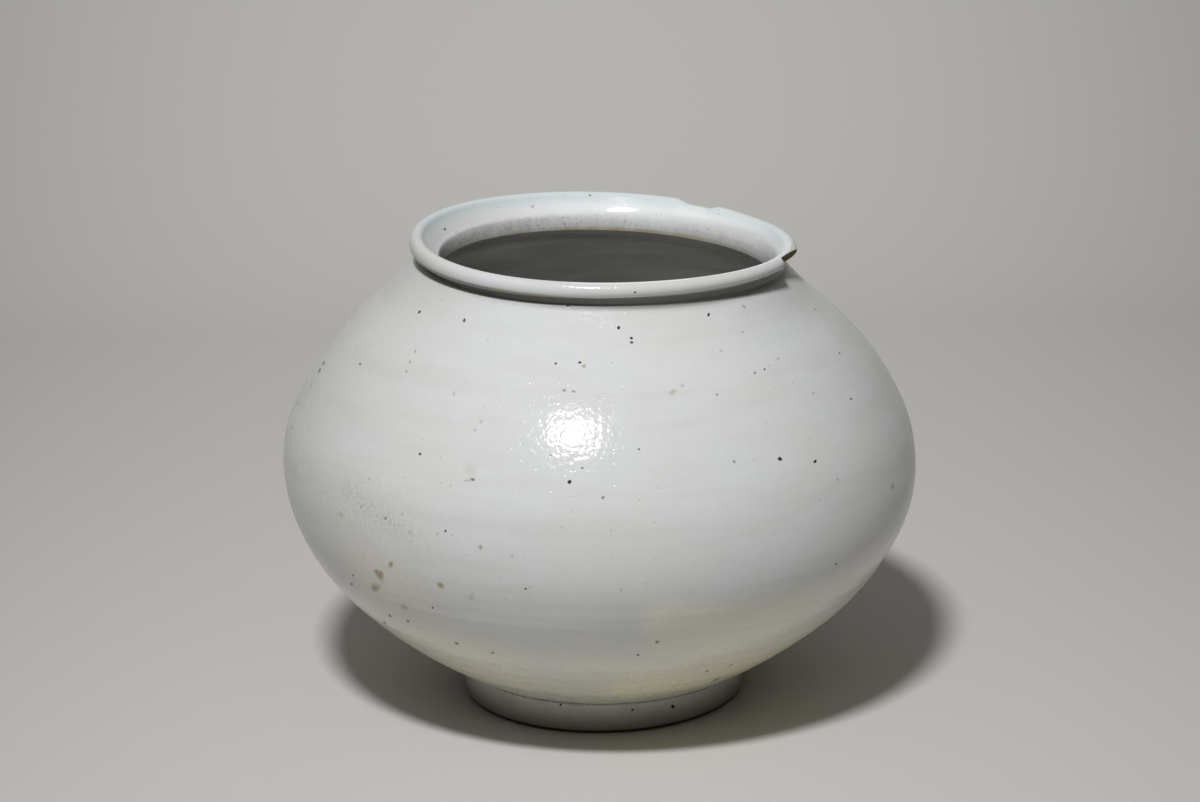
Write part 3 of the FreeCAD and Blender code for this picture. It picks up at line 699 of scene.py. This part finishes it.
def spotPiece(name):
    coats = [(grid, outward) + seenFrom(grid, outward)
             for grid, outward in ((outerGrid, 1), (innerGrid[-throatRows:], -1))]
    points, stain, colour = [], [], []

    def keep(kind, grid, outward, row, column, across, up, strength):
        finish = spots[kind]
        reach = np.maximum(1, np.maximum(np.abs(across).max(), np.abs(up).max()) / disk["farthest"])
        places, normal, _, _ = patchesOn(grid, row, column, across / reach, up / reach)
        lift = finish["height"] * (1 - diskReach ** 2) ** 1.5 + disk["lift"] * (1 - diskReach ** 4)
        points.append((places + (lift + 0 * across)[..., None] * normal * outward)[:, ::int(outward)])
        tone = 1 - eased(diskReach, finish["soft"], 1)
        tone = tone * (1 - finish.get("pale", 0) * (diskReach < disk["paleTo"]))
        stain.append(strength * tone + 0 * across)
        colour.append(np.broadcast_to(np.array((*finish["colour"], 1)), across.shape + (4,)))

    for kind, finish in spots.items():
        for number, (x, y, wide, *shape, strength) in enumerate(finish["seen"]):
            tall, turn = (*shape, 0)[:2] if shape else (wide, 0)
            away = [(gridX - x) ** 2 + (gridY - y) ** 2 + hiddenCost * ~facing
                    for _, _, gridX, gridY, facing in coats]
            nearest = int(np.argmin([distance.min() for distance in away]))
            grid, outward, gridX, gridY, _ = coats[nearest]
            row, column = np.unravel_index(np.argmin(away[nearest]), gridX.shape)
            before, after = (column - 1) % len(turns), (column + 1) % len(turns)
            slopes = np.array([[picture[row, after] - picture[row, before],
                                picture[row + 1, column] - picture[row - 1, column]]
                               for picture in (gridX, gridY)]) / 2
            offX, offY = diskShape(wide, tall, turn, disk["phase"] * number)
            goal = np.stack([offX + x - gridX[row, column], offY + y - gridY[row, column]])
            across, up = np.einsum("ij,jkl->ikl", np.linalg.inv(slopes), goal)
            keep(kind, grid, outward, row, column, across, up, strength)
    chance = np.random.default_rng(unseen["seed"])
    first, last = unseen["clearRows"]
    behind = np.argwhere(~coats[0][4][first:-last]) + np.array([first, 0])
    picked = chance.choice(list(unseen["share"]), unseen["count"], p=list(unseen["share"].values()))
    still = 0 * diskTurn
    for number, (kind, place) in enumerate(zip(picked, chance.integers(0, len(behind), unseen["count"]))):
        row, column = behind[place]
        across, up = (np.linalg.norm(step) for step in patchesOn(outerGrid, row, column, still, still)[2:])
        size = chance.uniform(*unseen["small" if kind in ("iron", "olive") else "large"])
        flat = chance.uniform(*unseen["flat"])
        offX, offY = diskShape(size, size * flat, chance.uniform(0, 180), unseen["phase"] * number)
        keep(kind, outerGrid, 1, row, column, offX / across, offY / up, chance.uniform(*unseen["strength"]))
    points, stain, colour = map(np.array, (points, stain, colour))
    mesh = bpy.data.meshes.new(name)
    mesh.from_pydata((points.reshape(-1, 3) * mm).tolist(), [], diskFaces(len(points)).tolist())
    writeValues(mesh, {"stain": stain, "fracture": 0 * stain, **marksOf(points)})
    attribute = mesh.attributes.new("stainColour", "FLOAT_COLOR", "POINT")
    attribute.data.foreach_set("color", colour.astype(np.float32).ravel())
    merge(mesh, closeBy)
    mesh.shade_smooth()
    return shownAs(name, mesh)


glazeSpots = spotPiece("glazeSpots")
print("spots", len(glazeSpots.data.polygons), "faces")


# Finishes
def nodeKit(tree):
    # short ways to add nodes: a socket that they are given is linked, any other value is set
    def fill(node, values):
        for key, value in values.items():
            if isinstance(value, bpy.types.NodeSocket):
                tree.links.new(value, node.inputs[key])
            else:
                node.inputs[key].default_value = value

    def add(kind, values, output, **settings):
        made = tree.nodes.new("ShaderNode" + kind)
        for key, value in settings.items():
            setattr(made, key, value)
        fill(made, values)
        return made.outputs[output]

    def blend(factor, low, high):
        # a colour that goes from low to high with the factor
        low, high = ((*value, 1) if isinstance(value, tuple) else value for value in (low, high))
        return add("Mix", {"Factor": factor, "A": low, "B": high}, "Result", data_type="RGBA")

    def step(value, low, high, start=0, end=1):
        values = {"Value": value, "From Min": low, "From Max": high, "To Min": start, "To Max": end}
        return add("MapRange", values, "Result", interpolation_type="SMOOTHSTEP")

    def combine(operation, first, second):
        return add("Math", {0: first, 1: second}, 0, operation=operation)

    def times(first, second):
        return combine("MULTIPLY", first, second)

    def noise(vector, scale, detail, roughness=0.5):
        values = {"Vector": vector, "Scale": scale, "Detail": detail, "Roughness": roughness}
        return add("TexNoise", values, "Fac")

    return SimpleNamespace(fill=fill, add=add, blend=blend, step=step, combine=combine, times=times,
                           noise=noise)


def newMaterial(name):
    material = bpy.data.materials.new(name)
    material.use_nodes = True
    kit = nodeKit(material.node_tree)
    kit.material = material
    kit.shader = material.node_tree.nodes["Principled BSDF"]
    kit.place = kit.add("TexCoord", {}, "Object")
    return kit


# Colours, scales per metre, and spreads: a pattern's values where it begins and ends to show, with its shares
glazeLook = {
    "cool": (0.655, 0.672, 0.680), "warm": (0.650, 0.652, 0.636),
    "mottle": (0.60, 0.60, 0.575), "grain": (0.57, 0.57, 0.55), "band": (0.575, 0.575, 0.55),
    # buff is a real buff tint painted lighter than the glaze, as painted light reflected from the floor
    "buff": (0.915, 0.885, 0.665), "sand": (0.60, 0.55, 0.40), "crackle": (0.42, 0.34, 0.22),
    # flareLit is painted light: the inner flare drawn brighter than the glaze
    "flareLit": (0.83, 0.85, 0.85), "bluish": (0.62, 0.70, 0.71), "worn": (0.60, 0.57, 0.50),
    # dust is the grey of the mottled flecks near the throat
    # lipShadeAndBase is painted shade under the lip, also used for the darker band at the foot's base
    "lipShadeAndBase": (0.11, 0.105, 0.092), "dust": (0.36, 0.36, 0.35),
    # footLowShade is painted shade at the foot's base, slightly browner, also the colour of its streaks
    "foot": (0.66, 0.66, 0.62), "footLowShade": (0.29, 0.285, 0.25),
    # inner and insideShadeLow are painted shade, the same glaze drawn darker inside
    "inner": (0.56, 0.56, 0.55), "insideShadeLow": (0.42, 0.415, 0.395),
    "smear": (0.43, 0.42, 0.365), "ochre": (0.40, 0.335, 0.13), "pit": (0.24, 0.22, 0.17),
    "break": (0.125, 0.108, 0.064), "breakPale": (0.31, 0.265, 0.165),
    "scale": {"cloud": 16, "mottle": 85, "grain": 760, "sand": 640, "band": 19, "crackle": 330,
              "break": 900, "pinhole": 520, "peel": 430, "swell": 170},
    "level": (1, 1, 7),  # the bands are this much finer upwards
    "spread": {
        "warm": (0.35, 0.68), "mottle": (0.42, 0.75, 0, 0.22), "grain": (0.45, 0.7, 0, 0.16),
        "band": (0.42, 0.72, 0, 0.35), "buff": (0.28, 0.62, 0.35, 1.2), "sand": (0.4, 0.68, 0, 0.3),
        "crackle": (0, 0.09, 0.2, 0), "worn": (0.42, 0.66, 0.05, 0.55), "dust": (0.38, 0.62, 0.1, 0.5),
        "fleck": (0.5, 0.64, 0, 0.5), "foot": (0.45, 0.7, 0, 0.3), "inner": (0.36, 0.64),
        "smear": (0.4, 0.66, 0.05, 0.4), "ochre": (0.35, 0.6, 0.2, 0.9), "break": (0.45, 0.68),
        "pinhole": (0.08, 0.26, 1, 0), "pinholes": (0.72, 0.78), "pit": (0.955, 0.975, 0.05, 0.6),
        "gloss": (0.35, 0.7, 0.36, 0.5), "smooth": (0, 1, 1, 0.15), "coat": (0, 1, 0.8, 0),
    },
    "lipShadeAndBaseShare": 0.8, "footFade": (0.1, 1.05), "wornDull": 0.22, "breakDull": 0.75,
    "peel": 0.5, "swell": 0.15, "pinholeDepth": 0.16,
    "coatRelief": 0.0004, "baseRelief": 0.00008, "coatRoughness": 0.15, "coatIndex": 1.48,
}


def glazeMaterial(look):
    kit = newMaterial("clearGlaze")
    blend, times = kit.blend, kit.times

    def mark(name):
        return kit.add("Attribute", {}, "Fac", attribute_name=name)

    def noise(name, detail, roughness=0.5, vector=kit.place):
        return kit.noise(vector, look["scale"][name], detail, roughness)

    def share(pattern, name):
        return kit.step(pattern, *look["spread"][name])

    def cells(name, feature):
        values = {"Vector": kit.place, "Scale": look["scale"][name]}
        return kit.add("TexVoronoi", values, "Distance", feature=feature)

    buff, flareLit, bluish, worn, fracture = map(mark, ("buff", "flareLit", "bluish", "worn", "fracture"))
    cloud = noise("cloud", 3)
    mottle = noise("mottle", 4, 0.6)
    grain = noise("grain", 2)
    sand = noise("sand", 2)
    level = kit.add("Mapping", {"Vector": kit.place, "Scale": look["level"]}, "Vector")
    bands = noise("band", 3, 0.55, level)
    colour = blend(share(cloud, "warm"), look["cool"], look["warm"])
    for pattern, name in ((mottle, "mottle"), (grain, "grain"), (bands, "band")):
        colour = blend(share(pattern, name), colour, look[name])

    # buff in uneven clouds where the fire was smoky, painted lighter than the glaze as reflected floor light,
    # with sand and crackle
    for pattern, name in ((cloud, "buff"), (sand, "sand"), (cells("crackle", "DISTANCE_TO_EDGE"), "crackle")):
        colour = blend(times(buff, share(pattern, name)), colour, look[name])

    # lip and neck, foot, inside and the stains over them, with painted light on the flare and painted shade
    # under the lip, down the foot and inside
    flecks = kit.combine("ADD", share(mottle, "dust"), share(sand, "fleck"))
    upwards = kit.add("SeparateXYZ", {0: kit.place}, "Z")
    # painted shade: the foot darker towards its base, with darker streaks
    footEnds = (footShare * jar.footHeight * mm for footShare in look["footFade"])
    footWithShade = blend(kit.step(upwards, *footEnds), look["footLowShade"], look["foot"])
    footWithShade = blend(share(mottle, "foot"), footWithShade, look["footLowShade"])
    # painted shade: the inside darker than the outside, in faint bands
    insideShadeColour = blend(share(bands, "inner"), look["inner"], look["insideShadeLow"])
    layers = (
        (flareLit, look["flareLit"]), (bluish, look["bluish"]), (times(worn, share(grain, "worn")), look["worn"]),
        (times(mark("lipShadeAndBase"), look["lipShadeAndBaseShare"]), look["lipShadeAndBase"]),
        (times(mark("throatGreying"), flecks), look["dust"]),
        (mark("onFoot"), footWithShade), (mark("inner"), insideShadeColour),
        (times(mark("smeared"), share(grain, "smear")), look["smear"]),
        (times(mark("ochre"), share(mottle, "ochre")), look["ochre"]),
    )
    for factor, layer in layers:
        colour = blend(factor, colour, layer)

    # pinholes, a few of them dark, then the break and the spots
    pinhole = cells("pinhole", "F1")
    chance = kit.add("SeparateColor", {"Color": pinhole.node.outputs["Color"]}, "Red")
    pits = times(share(pinhole, "pinhole"), share(chance, "pinholes"))
    colour = blend(times(pits, share(chance, "pit")), colour, look["pit"])
    breakColour = blend(share(noise("break", 3), "break"), look["break"], look["breakPale"])
    colour = blend(fracture, colour, breakColour)
    colour = blend(mark("stain"), colour, kit.add("Attribute", {}, "Color", attribute_name="stainColour"))

    # gloss: satin with smoother patches, dull where worn and on the break
    gloss = kit.combine("ADD", share(mottle, "gloss"), times(worn, look["wornDull"]))
    gloss = kit.combine("MAXIMUM", gloss, times(fracture, look["breakDull"]))

    # orange peel and pinholes, full on the clear coat and faint beneath it
    relief = kit.combine("ADD", times(noise("peel", 1.5), look["peel"]),
                         times(noise("swell", 1), look["swell"]))
    relief = times(relief, share(kit.combine("MAXIMUM", flareLit, bluish), "smooth"))
    relief = kit.combine("SUBTRACT", relief, times(pits, look["pinholeDepth"]))

    def bump(depth):
        return kit.add("Bump", {"Height": relief, "Strength": 1, "Distance": depth}, "Normal")

    kit.fill(kit.shader, {
        "Base Color": colour, "Roughness": gloss, "Specular IOR Level": 0, "Normal": bump(look["baseRelief"]),
        "Coat Weight": share(fracture, "coat"), "Coat Normal": bump(look["coatRelief"]),
        "Coat Roughness": look["coatRoughness"], "Coat IOR": look["coatIndex"],
    })
    return kit.material


clayLook = {
    "body": (0.56, 0.52, 0.44), "flush": (0.47, 0.33, 0.20), "flushScale": 45, "flushSpread": (0.42, 0.7),
    "grit": (0.22, 0.18, 0.13), "gritScale": 1400, "gritSpread": (0.58, 0.7, 0, 0.6),
    "edge": (0.06, 0.054, 0.045), "edgeReach": (0.0018, 0.0006),  # metres in from the foot's outside
    "roughness": 0.85, "strength": 0.6, "relief": 0.0001,
}


def clayMaterial(look):
    # bare porcelain, faintly flushed with orange where the fire reached it
    kit = newMaterial("bareClay")
    cloud = kit.noise(kit.place, look["flushScale"], 4)
    grit = kit.noise(kit.place, look["gritScale"], 3)
    colour = kit.blend(kit.step(cloud, *look["flushSpread"]), look["body"], look["flush"])
    colour = kit.blend(kit.step(grit, *look["gritSpread"]), colour, look["grit"])
    flat = kit.add("VectorMath", {0: kit.place, 1: (1, 1, 0)}, "Vector", operation="MULTIPLY")
    radius = kit.add("VectorMath", {0: flat}, "Value", operation="LENGTH")
    edge = kit.step(radius, *(jar.footRadius * mm - reach for reach in look["edgeReach"]))
    values = {"Height": grit, "Strength": look["strength"], "Distance": look["relief"]}
    kit.fill(kit.shader, {"Base Color": kit.blend(edge, colour, look["edge"]), "Roughness": look["roughness"],
                          "Normal": kit.add("Bump", values, "Normal")})
    return kit.material


glazeFinish = glazeMaterial(glazeLook)
clayFinish = clayMaterial(clayLook)
print("finishes made")

for piece, node in ((outerGlaze, "outer_glaze"), (innerGlaze, "inner_glaze")):
    piece.data.materials.append(glazeFinish)
    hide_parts(node)
    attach(piece, "root")
glazeSpots.data.materials.append(glazeFinish)
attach(glazeSpots, "root")
for node, piece in clayPieces.items():
    piece.data.materials.append(clayFinish)
    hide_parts(node)
    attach(piece, "root")
for node, finish in (("foot_ring", clayFinish), ("foot_slip", clayFinish), ("foot_well_glaze", glazeFinish)):
    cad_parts[node].data.materials.clear()
    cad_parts[node].data.materials.append(finish)

# Floor and backdrop in one sweep of grey paper, with painted shade: darker away from the jar and high up
sweep = {
    "front": -3.5, "bendFrom": 0.55, "bend": 0.38, "half": 5, "top": 3.2,  # metres
    "colour": (0.558, 0.550, 0.536),
    "upperColour": (0.14, 0.14, 0.14),
    "edgeShare": 0.12, "edgeReach": 0.28,
    "fadeFrom": 0.55, "fadeTo": 1.15, "fadeShade": 0.18,
    "climb": (0.7, 2.6),  # heights between which it takes its upper colour
    "roughness": 0.9, "gloss": 0.15,
}


def sweepMesh():
    # a flat floor, a quarter round and an upright wall
    wall = sweep["bendFrom"] + sweep["bend"]
    line = [(sweep["front"], 0), *arcRun(sweep["bendFrom"], sweep["bend"], sweep["bend"], -90, 0, 32),
            (wall, sweep["bend"]), (wall, sweep["top"])]
    points = np.array([[x, y, z] for y, z in line for x in (-sweep["half"], sweep["half"])])
    faces = [(2 * k, 2 * k + 1, 2 * k + 3, 2 * k + 2) for k in range(len(line) - 1)]
    mesh = bpy.data.meshes.new("studioSweep")
    mesh.from_pydata(points.tolist(), [], faces)
    mesh.shade_smooth()
    return mesh


def sweepMaterial():
    kit = newMaterial("sweepPaper")
    aside = kit.add("SeparateXYZ", {0: kit.place}, "X")
    square = kit.times(aside, aside)
    values = {"Value": square, "From Max": 3 * sweep["edgeReach"] ** 2, "To Min": 1,
              "To Max": 1 - 3 * sweep["edgeShare"]}
    side = kit.add("MapRange", values, "Result")
    far = kit.step(square, sweep["fadeFrom"] ** 2, sweep["fadeTo"] ** 2, 1, sweep["fadeShade"])
    high = kit.step(aside.node.outputs["Z"], *sweep["climb"])
    paper = kit.blend(high, sweep["colour"], sweep["upperColour"])
    dimmed = kit.add("VectorMath", {0: paper, "Scale": kit.times(side, far)}, 0, operation="SCALE")
    kit.fill(kit.shader, {"Base Color": dimmed, "Roughness": sweep["roughness"],
                          "Specular IOR Level": sweep["gloss"]})

    # the paper's back is clear to the camera, so that it hides nothing from behind
    back = kit.times(kit.add("NewGeometry", {}, "Backfacing"), kit.add("LightPath", {}, "Is Camera Ray"))
    clear = kit.add("BsdfTransparent", {}, 0)
    mixed = kit.add("MixShader", {0: back, 1: kit.shader.outputs[0], 2: clear}, 0)
    kit.fill(kit.material.node_tree.nodes["Material Output"], {"Surface": mixed})
    return kit.material


floor = shownAs("studioSweep", sweepMesh())
floor.data.materials.append(sweepMaterial())

# One oval soft lamp over the viewer's left shoulder, and a dim surround that is brighter overhead
lamp = {
    "turn": -102.8, "height": 54.8, "distance": 3.21, "wide": 0.46, "tall": 0.25, "power": 88,
    "colour": (1, 1, 1.015),
}
surround = {
    "colour": (1, 0.96, 0.86, 1),
    "strength": (0.3, 1, 0.015, 0.32),  # upward share of the direction from and to, strengths there
}
key = bpy.data.lights.new("key", "AREA")
key.shape = "ELLIPSE"
key.size = lamp["wide"]
key.size_y = lamp["tall"]
key.energy = lamp["power"]
key.color = lamp["colour"]
flat = cosd(lamp["height"])
heading = Vector((cosd(lamp["turn"]) * flat, sind(lamp["turn"]) * flat, sind(lamp["height"])))
keyLamp = shownAs("key", key)
keyLamp.location = heading * lamp["distance"] + Vector(bellyMiddle * mm)
keyLamp.rotation_euler = heading.to_track_quat("Z", "Y").to_euler()
world = bpy.data.worlds.new("studio")
world.use_nodes = True
kit = nodeKit(world.node_tree)
upwards = kit.add("SeparateXYZ", {0: kit.add("TexCoord", {}, "Generated")}, "Z")
strength = kit.step(upwards, *surround["strength"])
kit.fill(world.node_tree.nodes["Background"], {"Color": surround["colour"], "Strength": strength})
scene.world = world
print("lit")
